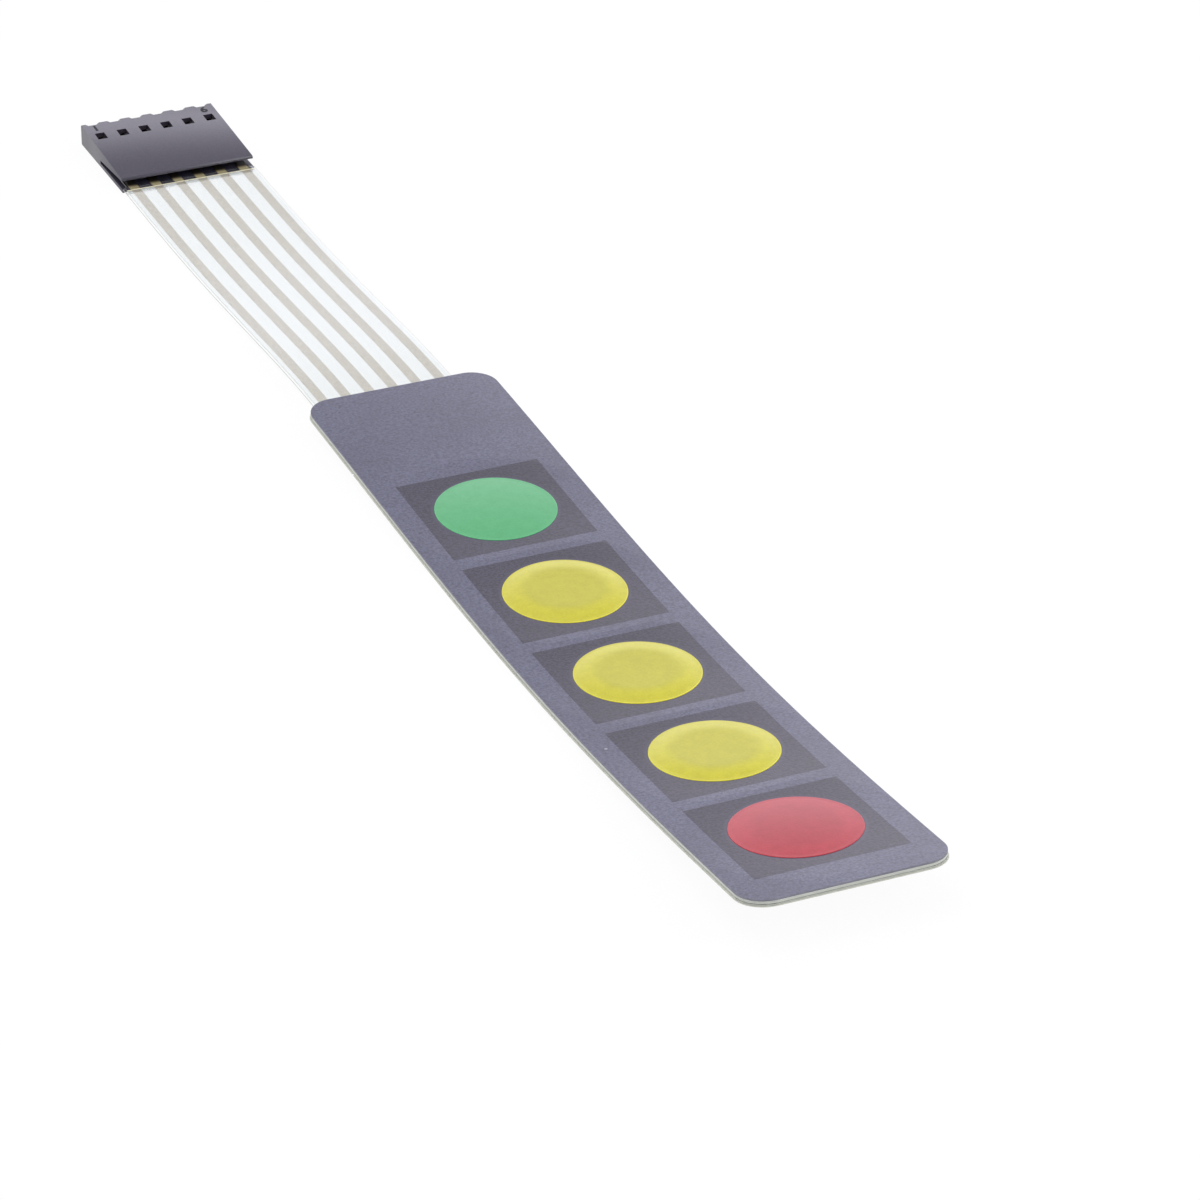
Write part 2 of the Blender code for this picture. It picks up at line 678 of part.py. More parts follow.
def lead_in_cut(solid, x):
    """A four-sided funnel in the front face, cut by a cone that has its middle on the face."""
    depth = 2 * LEAD_DEPTH
    narrow = PIN_ENTRY / 2
    wide = LEAD_IN - narrow
    place = Matrix.Translation((x, HOUSING_DEPTH, PIN_HEIGHT)) @ Matrix.Rotation(-pi / 2, 4, "X")
    bmesh.ops.create_cone(
        solid, cap_ends=True, segments=4, radius1=narrow * 2**0.5, radius2=wide * 2**0.5, depth=depth,
        matrix=place @ Matrix.Rotation(pi / 4, 4, "Z"),
    )


def window_cut(solid, x):
    """The window over a contact, down into its cavity."""
    low = (x - WINDOW_WIDTH / 2, HOUSING_DEPTH - WINDOW_END, CAVITY_ROOF - CUT_OVERRUN)
    high = (x + WINDOW_WIDTH / 2, HOUSING_DEPTH - WINDOW_START, HOUSING_FRONT + CUT_OVERRUN)
    add_box(solid, low, high)


def dip_cut(solid, x):
    """A shallow dip with sloping sides that falls to the top front edge, cut by a tilted trough that
    starts in the air behind the dip and runs past the front face."""
    back = HOUSING_DEPTH - DIP_LENGTH
    fall = -DIP_DEPTH / DIP_LENGTH
    reach = DIP_DEPTH + CUT_OVERRUN
    floor = DIP_WIDTH / 2
    brim = floor + DIP_SIDE * reach / DIP_DEPTH
    section = [(-floor, 0.0), (floor, 0.0), (brim, reach), (-brim, reach)]
    dip = flat_solid([section], DIP_LENGTH + 2 * CUT_OVERRUN)
    start = housing_top(back) - fall * CUT_OVERRUN
    lay = Matrix(((1, 0, 0, x), (0, 0, 1, back - CUT_OVERRUN), (0, 1, fall, start), (0, 0, 0, 1)))
    bmesh.ops.transform(dip, matrix=lay, verts=dip.verts)
    copy = bpy.data.meshes.new("dip")
    dip.to_mesh(copy)
    dip.free()
    solid.from_mesh(copy)
    bpy.data.meshes.remove(copy)


def add_housing(finish):
    place = Matrix.Translation((TAIL_OFFSET, bow.housing_rear, 0.0))
    solid = side_solid(housing_profile(), WAYS * PITCH)
    housing = add_object("connector_housing", solid, parts, finish)
    housing.matrix_basis = place
    for make_one in (cavity_cut, window_cut, entry_cut, lead_in_cut, dip_cut):
        cutter = add_object(make_one.__name__, each_way(make_one), cutters)
        cutter.matrix_basis = place
        cutter.hide_render = True
        cutter.display_type = "WIRE"
        cut = housing.modifiers.new(make_one.__name__, "BOOLEAN")
        cut.operation = "DIFFERENCE"
        cut.solver = "EXACT"
        cut.object = cutter


def contact_profile():
    """Side outline of a contact: a flat strip from over the track, forking into two pin springs."""
    seat = BASE_PLATE + LAYER_GAP + TRACK_TOP + CONTACT_SEAT
    tip = HOUSING_DEPTH - FRONT_WALL - TIP_GAP
    fold = SLOT_DEPTH + FOLD_GAP
    pinch = HOUSING_DEPTH - (WINDOW_START + WINDOW_END) / 2
    crest = FORK_PINCH + CONTACT_METAL
    lower = [(CONTACT_TAIL, seat), (tip, seat), (tip, seat + CONTACT_METAL)]
    inside = [
        (fold + CONTACT_METAL, seat + CONTACT_METAL),
        (fold + CONTACT_METAL, FORK_TOP - CONTACT_METAL),
        (pinch, FORK_PINCH),
        (tip, FORK_TOP - CONTACT_METAL),
    ]
    outside = [(tip, FORK_TOP), (pinch, crest), (fold + CONTACT_METAL, FORK_TOP), (fold, FORK_TOP)]
    return lower + inside + outside + [(fold, seat + CONTACT_METAL), (CONTACT_TAIL, seat + CONTACT_METAL)]


def add_contacts(finish):
    for way in range(WAYS):
        solid = side_solid(contact_profile(), CONTACT_WIDTH)
        contact = add_object("contact_%d" % (way + 1), solid, parts, finish)
        contact.location = (way_place(way), bow.housing_rear, 0.0)


clear_scene()
parts = make_collection("membrane_keypad")
cutters = make_collection("cutters")
bow = Bow()

matt_print = material("matt_grey_print", (0.25, 0.26, 0.33), 0.6)
field_print = material("matt_dark_print", (0.13, 0.12, 0.15), 0.6)
key_prints = {
    "red": material("red_print", (0.62, 0.14, 0.17), 0.4),
    "yellow": material("yellow_print", (0.64, 0.60, 0.12), 0.4),
    "green": material("green_print", (0.16, 0.48, 0.25), 0.4),
}
clear_film = material("clear_polyester", (0.9, 0.93, 0.97), 0.15, alpha=0.3)
spacer_film = material("white_polyester", (0.8, 0.8, 0.8), 0.5)
clear_glue = material("clear_adhesive", (0.85, 0.85, 0.8), 0.3, alpha=0.5)
liner_paper = material("release_paper", (0.58, 0.61, 0.52), 0.55)
silver_print = material("silver_ink", (0.67, 0.62, 0.56), 0.5, 0.2)
spring_steel = material("spring_steel", (0.6, 0.58, 0.55), 0.25, 1.0)
black_plastic = material("black_moulded_plastic", (0.02, 0.02, 0.025), 0.45)
tinned_brass = material("tinned_brass", (0.65, 0.5, 0.25), 0.3, 1.0)

add_films()
add_overlay(matt_print, field_print)
for number, key_name in enumerate(KEYS):
    add_key(number, key_prints[key_name.split("_")[0]])
    add_snap_dome(number, spring_steel)
add_housing(black_plastic)
add_contacts(tinned_brass)
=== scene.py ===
from math import acos, cos, pi, radians, sin, tan

import bpy
import bmesh
import numpy as np
from mathutils import Matrix, Vector


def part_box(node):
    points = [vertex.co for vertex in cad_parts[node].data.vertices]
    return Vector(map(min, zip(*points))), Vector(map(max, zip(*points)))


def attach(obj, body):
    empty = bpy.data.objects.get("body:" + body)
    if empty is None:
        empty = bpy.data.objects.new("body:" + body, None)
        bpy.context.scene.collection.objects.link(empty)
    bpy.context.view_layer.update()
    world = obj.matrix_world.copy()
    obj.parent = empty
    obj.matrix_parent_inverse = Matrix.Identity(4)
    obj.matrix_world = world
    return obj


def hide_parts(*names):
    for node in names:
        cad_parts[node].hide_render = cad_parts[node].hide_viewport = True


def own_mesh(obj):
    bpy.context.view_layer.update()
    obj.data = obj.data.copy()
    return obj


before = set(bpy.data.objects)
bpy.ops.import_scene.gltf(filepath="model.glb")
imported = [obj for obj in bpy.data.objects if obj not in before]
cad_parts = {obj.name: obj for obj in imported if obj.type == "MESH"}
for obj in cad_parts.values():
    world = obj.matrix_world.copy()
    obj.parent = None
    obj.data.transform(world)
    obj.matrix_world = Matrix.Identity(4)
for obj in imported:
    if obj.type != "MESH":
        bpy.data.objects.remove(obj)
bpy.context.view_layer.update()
mm = 0.001
keyNames = ("red", "yellow_3", "yellow_2", "yellow_1", "green")
keyCount = len(keyNames)
mergeDistance = 1e-6
print("frame loaded:", len(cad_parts), "nodes")


# Camera: the photograph's own place and lens
camera = {
    "place": (-0.17758, -0.43846, 0.25379),
    "right": (0.91622, -0.40065, 0.0036),
    "up": (0.19448, 0.45258, 0.87026),
    "back": (-0.3503, -0.79665, 0.49258),
    "lens": 163.15,
    "sensor": 36.0,
}


def makeCamera():
    data = bpy.data.cameras.new("photoCamera")
    data.lens = camera["lens"]
    data.sensor_width = camera["sensor"]
    data.clip_start = 0.01
    made = bpy.data.objects.new("photoCamera", data)
    turn = Matrix((camera["right"], camera["up"], camera["back"])).transposed()
    made.matrix_world = Matrix.Translation(camera["place"]) @ turn.to_4x4()
    bpy.context.scene.collection.objects.link(made)
    bpy.context.scene.camera = made


makeCamera()
print("camera placed")


# Colours and nodes

def linear(code):
    values = [int(code[i:i + 2], 16) / 255 for i in (1, 3, 5)]
    return (*[v / 12.92 if v <= 0.04045 else ((v + 0.055) / 1.055) ** 2.4 for v in values], 1.0)


def addNode(tree, kind, settings, inputs):
    node = tree.nodes.new(kind)
    for name, value in settings.items():
        setattr(node, name, value)
    for name, value in inputs.items():
        if isinstance(value, bpy.types.NodeSocket):
            tree.links.new(value, node.inputs[name])
        else:
            node.inputs[name].default_value = value
    return node


def newMaterial(name, inputs):
    made = bpy.data.materials.new(name)
    made.use_nodes = True
    tree = made.node_tree
    tree.nodes.clear()
    shader = addNode(tree, "ShaderNodeBsdfPrincipled", {}, inputs)
    addNode(tree, "ShaderNodeOutputMaterial", {}, {"Surface": shader.outputs[0]})
    return made, tree, shader


# Screen-printed polyester with a velvet grain, embossed by a rolled texture: a matt face that greys
# at a low angle, with fine grain and a few darker specks. The real grain is about 0.05 mm, and it is
# drawn at grainSize so that it shows. Embossing the keys drew the film down a little round each one,
# and in a collar close to the key the print is made paler as a painted highlight. Each range gives the
# noise or the distance from the key's middle where an effect starts, and where it is full.
velvet = {
    "roughness": 0.36,
    "ior": 1.64,
    "grainSize": 0.28 * mm,
    "grainRange": (0.36, 0.64),
    "grainBump": 0.28,
    "speckSize": 0.30 * mm,
    "speckRange": (0.37, 0.29),
    "speckShare": 0.7,
    "cloudSize": 9.0 * mm,
    "cloudRange": (0.35, 0.65),
    "cloudShare": 0.25,
    "dishRange": (6.0 * mm, 10.0 * mm),
    "dishDepth": 0.14 * mm,
    "collarHighlightRange": (6.45 * mm, 6.10 * mm),
    "crossSwell": 6.0,
}
# One pale speck of dust on the left margin, with a darker ring round it: its ranges are in radii
dust = {
    "place": (-8.57 * mm, -55.55 * mm, 0.0),
    "radius": 0.14 * mm,
    "colour": "#8F909B",
    "coreRange": (1.3, 1.0),
    "ringRange": (2.2, 1.4),
    "ringShare": 0.6,
}
keyRow = {
    "first": (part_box("key_red")[0].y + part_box("key_red")[1].y) / 2,
    "last": (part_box("key_green")[0].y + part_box("key_green")[1].y) / 2,
}


# How far a point on the panel is from the middle of the nearest key
def keyDistance(tree, place):
    pitch = (keyRow["last"] - keyRow["first"]) / (keyCount - 1)
    apart = addNode(tree, "ShaderNodeSeparateXYZ", {}, {0: place})
    along = addNode(tree, "ShaderNodeMath", {"operation": "SUBTRACT"}, {
        0: apart.outputs["Y"], 1: keyRow["first"]})
    middle = along.outputs[0]
    steps = {"DIVIDE": pitch, "ROUND": 0.0, "MINIMUM": keyCount - 1, "MAXIMUM": 0.0, "MULTIPLY": pitch}
    for operation, other in steps.items():
        step = addNode(tree, "ShaderNodeMath", {"operation": operation}, {0: middle, 1: other})
        middle = step.outputs[0]
    beside = addNode(tree, "ShaderNodeMath", {"operation": "SUBTRACT"}, {0: along.outputs[0], 1: middle})
    across = addNode(tree, "ShaderNodeCombineXYZ", {}, {"X": apart.outputs["X"], "Y": beside.outputs[0]})
    away = addNode(tree, "ShaderNodeVectorMath", {"operation": "LENGTH"}, {0: across.outputs[0]})
    return away.outputs["Value"]


# A bump that swells a face gently across one axis: its height falls with the square of the distance
# from the middle, by so much per metre
def addSwell(tree, place, axis, middle, amount):
    apart = addNode(tree, "ShaderNodeSeparateXYZ", {}, {0: place})
    across = addNode(tree, "ShaderNodeMath", {"operation": "SUBTRACT"}, {
        0: apart.outputs[axis], 1: middle})
    square = addNode(tree, "ShaderNodeMath", {"operation": "MULTIPLY"}, {
        0: across.outputs[0], 1: across.outputs[0]})
    fall = addNode(tree, "ShaderNodeMath", {"operation": "MULTIPLY"}, {0: square.outputs[0], 1: -amount})
    return addNode(tree, "ShaderNodeBump", {}, {
        "Height": fall.outputs[0], "Strength": 1.0, "Distance": 1.0})


# The print's colour with the speck of dust on it
def addDust(tree, place, printed, dark):
    flat = addNode(tree, "ShaderNodeVectorMath", {"operation": "MULTIPLY"}, {0: place, 1: (1.0, 1.0, 0.0)})
    away = addNode(tree, "ShaderNodeVectorMath", {"operation": "DISTANCE"}, {
        0: flat.outputs[0], 1: dust["place"]})
    ringStart, ringEnd = dust["ringRange"]
    ring = addNode(tree, "ShaderNodeMapRange", {}, {
        "Value": away.outputs["Value"], "From Min": ringStart * dust["radius"],
        "From Max": ringEnd * dust["radius"], "To Min": 0.0, "To Max": dust["ringShare"]})
    ringed = addNode(tree, "ShaderNodeMix", {"data_type": "RGBA"}, {
        0: ring.outputs[0], 6: printed, 7: linear(dark)})
    coreStart, coreEnd = dust["coreRange"]
    core = addNode(tree, "ShaderNodeMapRange", {}, {
        "Value": away.outputs["Value"], "From Min": coreStart * dust["radius"],
        "From Max": coreEnd * dust["radius"]})
    dusted = addNode(tree, "ShaderNodeMix", {"data_type": "RGBA"}, {
        0: core.outputs[0], 6: ringed.outputs[2], 7: linear(dust["colour"])})
    return dusted.outputs[2]


def velvetPrint(name, base, dark, light):
    made, tree, shader = newMaterial(name, {"Roughness": velvet["roughness"], "IOR": velvet["ior"]})
    place = addNode(tree, "ShaderNodeTexCoord", {}, {}).outputs["Object"]
    away = keyDistance(tree, place)
    start, end = velvet["dishRange"]
    rise = addNode(tree, "ShaderNodeMapRange", {}, {"Value": away, "From Min": start, "From Max": end})
    swell = addSwell(tree, place, "X", 0.0, velvet["crossSwell"])
    dish = addNode(tree, "ShaderNodeBump", {}, {
        "Height": rise.outputs[0], "Strength": 1.0, "Distance": velvet["dishDepth"],
        "Normal": swell.outputs[0]})
    grain = addNode(tree, "ShaderNodeTexNoise", {}, {
        "Vector": place, "Scale": 1 / velvet["grainSize"], "Detail": 2.0, "Roughness": 0.7})
    specks = addNode(tree, "ShaderNodeTexNoise", {}, {
        "Vector": place, "Scale": 1 / velvet["speckSize"], "Detail": 1.0, "Roughness": 0.4})
    clouds = addNode(tree, "ShaderNodeTexNoise", {}, {
        "Vector": place, "Scale": 1 / velvet["cloudSize"], "Detail": 2.0})
    start, end = velvet["grainRange"]
    tone = addNode(tree, "ShaderNodeMapRange", {}, {
        "Value": grain.outputs[0], "From Min": start, "From Max": end})
    body = addNode(tree, "ShaderNodeMix", {"data_type": "RGBA"}, {
        0: tone.outputs[0], 6: linear(base), 7: linear(light)})
    start, end = velvet["cloudRange"]
    patch = addNode(tree, "ShaderNodeMapRange", {}, {
        "Value": clouds.outputs[0], "From Min": start, "From Max": end,
        "To Min": 0.0, "To Max": velvet["cloudShare"]})
    cloudy = addNode(tree, "ShaderNodeMix", {"data_type": "RGBA"}, {
        0: patch.outputs[0], 6: body.outputs[2], 7: linear(dark)})
    start, end = velvet["speckRange"]
    spot = addNode(tree, "ShaderNodeMapRange", {}, {
        "Value": specks.outputs[0], "From Min": start, "From Max": end,
        "To Min": 0.0, "To Max": velvet["speckShare"]})
    speckled = addNode(tree, "ShaderNodeMix", {"data_type": "RGBA"}, {
        0: spot.outputs[0], 6: cloudy.outputs[2], 7: linear(dark)})
    # Painted highlight: in a collar round each key the colour is mixed towards the light tone
    start, end = velvet["collarHighlightRange"]
    collar = addNode(tree, "ShaderNodeMapRange", {}, {"Value": away, "From Min": start, "From Max": end})
    highlighted = addNode(tree, "ShaderNodeMix", {"data_type": "RGBA"}, {
        0: collar.outputs[0], 6: speckled.outputs[2], 7: linear(light)})
    tree.links.new(addDust(tree, place, highlighted.outputs[2], dark), shader.inputs["Base Color"])
    bump = addNode(tree, "ShaderNodeBump", {}, {
        "Height": grain.outputs[0], "Strength": velvet["grainBump"], "Distance": velvet["grainSize"] / 4,
        "Normal": dish.outputs[0]})
    tree.links.new(bump.outputs[0], shader.inputs["Normal"])
    return made


# Embossed key print: the same polyester under a solid spot colour, smoother than the velvet round it.
# Its middle is darkened a little as painted shade, and on the lip its colour is made paler as a painted
# highlight.
keyFinish = {
    "roughness": 0.36,
    "ior": 1.52,
    "grainSize": 0.22 * mm,
    "grainBump": 0.15,
    "cloudSize": 1.0 * mm,
    "toneRange": (0.7, 1.3),
    "crownRange": (3.4 * mm, 4.8 * mm),
    "lipRange": (5.90 * mm, 5.98 * mm),
    "lipPaintedHighlight": 1.4,
}


def keyPrint(name, base, dark, crownPaintedShade):
    made, tree, shader = newMaterial(name, {"Roughness": keyFinish["roughness"], "IOR": keyFinish["ior"]})
    place = addNode(tree, "ShaderNodeTexCoord", {}, {}).outputs["Object"]
    grain = addNode(tree, "ShaderNodeTexNoise", {}, {
        "Vector": place, "Scale": 1 / keyFinish["grainSize"], "Detail": 2.0})
    clouds = addNode(tree, "ShaderNodeTexNoise", {}, {
        "Vector": place, "Scale": 1 / keyFinish["cloudSize"], "Detail": 3.0})
    both = addNode(tree, "ShaderNodeMath", {"operation": "ADD"}, {0: grain.outputs[0], 1: clouds.outputs[0]})
    start, end = keyFinish["toneRange"]
    tone = addNode(tree, "ShaderNodeMapRange", {}, {
        "Value": both.outputs[0], "From Min": start, "From Max": end})
    body = addNode(tree, "ShaderNodeMix", {"data_type": "RGBA"}, {
        0: tone.outputs[0], 6: linear(dark), 7: linear(base)})
    away = keyDistance(tree, place)
    # Painted shade: the middle of the key is darkened by the crown factor
    start, end = keyFinish["crownRange"]
    crowned = addNode(tree, "ShaderNodeMapRange", {"interpolation_type": "SMOOTHSTEP"}, {
        "Value": away, "From Min": start, "From Max": end, "To Min": crownPaintedShade, "To Max": 1.0})
    # Painted highlight: on the lip the colour is scaled up
    start, end = keyFinish["lipRange"]
    lip = addNode(tree, "ShaderNodeMapRange", {}, {
        "Value": away, "From Min": start, "From Max": end,
        "To Min": 1.0, "To Max": keyFinish["lipPaintedHighlight"]})
    shade = addNode(tree, "ShaderNodeMath", {"operation": "MULTIPLY"}, {
        0: crowned.outputs[0], 1: lip.outputs[0]})
    shaded = addNode(tree, "ShaderNodeVectorMath", {"operation": "SCALE"}, {
        0: body.outputs[2], "Scale": shade.outputs[0]})
    tree.links.new(shaded.outputs[0], shader.inputs["Base Color"])
    bump = addNode(tree, "ShaderNodeBump", {}, {
        "Height": grain.outputs[0], "Strength": keyFinish["grainBump"],
        "Distance": keyFinish["grainSize"] / 4})
    tree.links.new(bump.outputs[0], shader.inputs["Normal"])
    return made


# Clear polyester film: glossy and see-through, with a very faint cool tint and soft roller marks. It
# lets lamp light through to the print under it.
film = {"tint": "#F7F9F9", "roughness": 0.04, "ior": 1.58, "markSize": 3.0 * mm}


def clearFilm(name):
    tint = linear(film["tint"])
    made, tree, shader = newMaterial(name, {
        "Base Color": tint, "Transmission Weight": 1.0, "IOR": film["ior"]})
    place = addNode(tree, "ShaderNodeTexCoord", {}, {}).outputs["Object"]
    marks = addNode(tree, "ShaderNodeTexNoise", {}, {"Vector": place, "Scale": 1 / film["markSize"]})
    haze = addNode(tree, "ShaderNodeMapRange", {}, {
        "Value": marks.outputs[0], "To Min": film["roughness"], "To Max": 2 * film["roughness"]})
    tree.links.new(haze.outputs[0], shader.inputs["Roughness"])
    path = addNode(tree, "ShaderNodeLightPath", {}, {})
    lit = addNode(tree, "ShaderNodeMath", {"operation": "MAXIMUM"}, {
        0: path.outputs["Is Shadow Ray"], 1: path.outputs["Is Diffuse Ray"]})
    clear = addNode(tree, "ShaderNodeBsdfTransparent", {}, {"Color": tint})
    both = addNode(tree, "ShaderNodeMixShader", {}, {
        0: lit.outputs[0], 1: shader.outputs[0], 2: clear.outputs[0]})
    tree.links.new(both.outputs[0], tree.nodes["Material Output"].inputs["Surface"])
    return made


# A material whose colour wanders between two tones in a noise of one size, with a fine bump
mottle = {"detail": 3.0, "range": (0.35, 0.65)}


def mottled(name, light, dark, size, bump, inputs):
    made, tree, shader = newMaterial(name, inputs)
    place = addNode(tree, "ShaderNodeTexCoord", {}, {}).outputs["Object"]
    noise = addNode(tree, "ShaderNodeTexNoise", {}, {
        "Vector": place, "Scale": 1 / size, "Detail": mottle["detail"]})
    start, end = mottle["range"]
    tone = addNode(tree, "ShaderNodeMapRange", {}, {
        "Value": noise.outputs[0], "From Min": start, "From Max": end})
    body = addNode(tree, "ShaderNodeMix", {"data_type": "RGBA"}, {
        0: tone.outputs[0], 6: linear(dark), 7: linear(light)})
    tree.links.new(body.outputs[2], shader.inputs["Base Color"])
    rise = addNode(tree, "ShaderNodeBump", {}, {
        "Height": noise.outputs[0], "Strength": bump, "Distance": size / 4})
    tree.links.new(rise.outputs[0], shader.inputs["Normal"])
    return made


greyVelvet = velvetPrint("greyVelvetPolyester", "#46475B", "#343545", "#606177")
darkVelvet = velvetPrint("darkVelvetPolyester", "#1C1827", "#110F18", "#3B374A")
keyPrints = {
    "red": keyPrint("redPrintedPolyester", "#B53741", "#A92F38", 0.91),
    "yellow": keyPrint("yellowPrintedPolyester", "#CAC42E", "#BFB928", 0.86),
    "green": keyPrint("greenPrintedPolyester", "#56AC72", "#4EA46A", 1.0),
}
clearPolyester = clearFilm("clearPolyesterFilm")
# Die-cut edge of a film: the blade leaves it frosted, so that it is pale and matt
frostedEdge = mottled("frostedPolyesterEdge", "#BFC2B6", "#B4B8AB", 0.5 * mm, 0.1, {"Roughness": 0.6})
greyEdge = mottled("greyPolyesterEdge", "#7C7D86", "#70717A", 0.5 * mm, 0.1, {"Roughness": 0.5})
# Silver ink, screen printed: a matt warm grey with a slight metal sparkle and a fine mesh unevenness
silverInk = mottled("silverPrintedInk", "#C5BDAA", "#B7AE9B", 0.3 * mm, 0.2, {
    "Roughness": 0.5, "Metallic": 0.15})
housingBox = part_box("connector_housing")
# Along y: past the cover film's end the ink is bare and yellower, and under the receptacle's cover its
# colour is darkened with painted deep shade, as the real cover stands closer over it
inkTonesAndShade = {
    "bare": (housingBox[0].y - 0.8 * mm, housingBox[0].y - 0.5 * mm, "#B9AA80"),
    "shaded": (housingBox[0].y - 0.1 * mm, housingBox[0].y + 0.7 * mm, "#2A261C"),
}


# Mixes the ink's colour along y into the bare tone and into the painted shade under the cover
def shadeAndTintInk(made):
    tree = made.node_tree
    shader = tree.nodes["Principled BSDF"]
    printed = shader.inputs["Base Color"].links[0].from_socket
    place = addNode(tree, "ShaderNodeTexCoord", {}, {}).outputs["Object"]
    apart = addNode(tree, "ShaderNodeSeparateXYZ", {}, {0: place})
    for start, end, tone in inkTonesAndShade.values():
        share = addNode(tree, "ShaderNodeMapRange", {}, {
            "Value": apart.outputs["Y"], "From Min": start, "From Max": end})
        both = addNode(tree, "ShaderNodeMix", {"data_type": "RGBA"}, {
            0: share.outputs[0], 6: printed, 7: linear(tone)})
        printed = both.outputs[2]
    tree.links.new(printed, shader.inputs["Base Color"])


shadeAndTintInk(silverInk)
# The bead of adhesive squeezed out at the cover film's end: cream and glossy
adhesiveBead = mottled("creamAdhesiveBead", "#F0EBD0", "#E6E0C0", 0.4 * mm, 0.1, {"Roughness": 0.3})
# Acrylic transfer adhesive: only its cut edge shows, pale and slightly green
transferAdhesive = mottled("acrylicTransferAdhesive", "#D6D8CB", "#CACCBE", 0.8 * mm, 0.1, {
    "Roughness": 0.25})
# White polyester spacer film: opaque, satin
whitePolyester = mottled("whitePolyesterFilm", "#C2C6BA", "#B8BCB0", 1.5 * mm, 0.05, {"Roughness": 0.35})
# Siliconised kraft release paper: pale green-grey, satin from the silicone, with soft fibres
releasePaper = mottled("siliconisedReleasePaper", "#D4D7C9", "#C8CBBC", 0.6 * mm, 0.2, {"Roughness": 0.45})
# Rolled stainless spring strip: bright and faintly uneven
springSteel = mottled("rolledSpringSteel", "#CFCBC5", "#BDB9B3", 0.4 * mm, 0.05, {
    "Roughness": 0.22, "Metallic": 1.0})
# Moulded polyester housing: black with a slight violet cast, satin from a spark-eroded mould
mouldedPolyester = mottled("blackMouldedPolyester", "#3D3948", "#332F3D", 0.25 * mm, 0.15, {
    "Roughness": 0.34, "IOR": 1.68})
# The way numbers' engraving is the same moulding, rough, and coloured near black as painted shade of its
# recess
engravingPaintedShade = mottled("engravingPaintedShade", "#121016", "#0C0A10", 0.25 * mm, 0.15, {"Roughness": 0.6})
# The moulding cooled with a gentle swell of its top across each axis
mouldedSwell = {"X": 9.0, "Y": 17.0}


def swellTop(made):
    tree = made.node_tree
    place = addNode(tree, "ShaderNodeTexCoord", {}, {}).outputs["Object"]
    middle = (housingBox[0] + housingBox[1]) / 2
    across = addSwell(tree, place, "X", middle.x, mouldedSwell["X"])
    along = addSwell(tree, place, "Y", middle.y, mouldedSwell["Y"])
    tree.links.new(across.outputs[0], along.inputs["Normal"])
    tree.links.new(along.outputs[0], tree.nodes["Bump"].inputs["Normal"])


swellTop(mouldedPolyester)
# Tin over brass: bright and warm where the tin is thin
tinnedBrass = mottled("tinnedBrassStrip", "#D9C58E", "#BFA564", 0.5 * mm, 0.05, {
    "Roughness": 0.25, "Metallic": 1.0})
print("materials made:", len(bpy.data.materials))


# The line along which the strip lies: the panel's gentle bow, then the tail's sagging curve to the
# receptacle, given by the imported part's own sizes but in finer steps
strip = {
    "panelLength": 106.0 * mm,
    "bowMean": radians(-2.2),
    "bowSwing": radians(4.44),
    "bowCentre": 44.0 * mm,
    "bowHalfWave": 88.0 * mm,
    "tailLength": 58.0 * mm,
    "tailSag": 0.47 * mm,
    "tailEndAngle": radians(1.0),
    "filmSeat": 0.408 * mm,
    "slotLength": 7.5 * mm,
    "undersideHeight": -0.116 * mm,
    "panelSteps": 80,
    "tailSteps": 48,
    "endMargin": 0.01 * mm,
}


def panelAngle(s):
    return strip["bowMean"] + strip["bowSwing"] * sin(pi * (s - strip["bowCentre"]) / strip["bowHalfWave"])


# Points (s, y, z) along the underside of the circuit film, with one more step before the panel's near
# end and the slot's straight length at the other. The tail follows a cubic curve between its two end
# slopes, less a sag that is deepest in its middle.
def makeLine():
    step = strip["panelLength"] / strip["panelSteps"]
    line = [(0.0, 0.0, 0.0)]
    for i in range(strip["panelSteps"]):
        s, y, z = line[-1]
        angle = panelAngle(s + step / 2)
        line.append((s + step, y + step * cos(angle), z + step * sin(angle)))
    lowest = min(z + strip["undersideHeight"] * cos(panelAngle(s)) for s, y, z in line)
    line = [(s, y, z - lowest) for s, y, z in line]
    s0, y0, z0 = line[-1]
    length = strip["tailLength"]
    riseStart = tan(panelAngle(strip["panelLength"])) * length
    riseEnd = tan(strip["tailEndAngle"]) * length
    for i in range(1, strip["tailSteps"] + 1):
        t = i / strip["tailSteps"]
        z = (2 * t**3 - 3 * t**2 + 1) * z0 + (t**3 - 2 * t**2 + t) * riseStart
        z += (3 * t**2 - 2 * t**3) * strip["filmSeat"] + (t**3 - t**2) * riseEnd
        z -= strip["tailSag"] * 16 * t**2 * (1 - t) ** 2
        line.append((s0 + t * length, y0 + t * length, z))
    s, y, z = line[-1]
    line.append((s + strip["slotLength"], y + strip["slotLength"], z))
    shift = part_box("connector_housing")[0].y - y
    angle = panelAngle(0.0)
    s, y, z = line[0]
    line.insert(0, (s - step, y - step * cos(angle), z - step * sin(angle)))
    return np.array([(s, y + shift, z) for s, y, z in line])


line = makeLine()
slopes = np.gradient(line[:, 2], line[:, 1])
normals = np.stack([-slopes, np.ones(len(line))], axis=1) / np.hypot(slopes, 1.0)[:, None]


# Point (x across, s along, h above the circuit film's underside) on the bowed strip
def onStrip(x, s, h):
    y = np.interp(s, line[:, 0], line[:, 1]) + h * np.interp(s, line[:, 0], normals[:, 0])
    z = np.interp(s, line[:, 0], line[:, 2]) + h * np.interp(s, line[:, 0], normals[:, 1])
    return Vector((x, y, z))


def cutThrough(solid, place, direction):
    everything = solid.verts[:] + solid.edges[:] + solid.faces[:]
    bmesh.ops.bisect_plane(solid, geom=everything, dist=1e-7, plane_co=place, plane_no=direction)


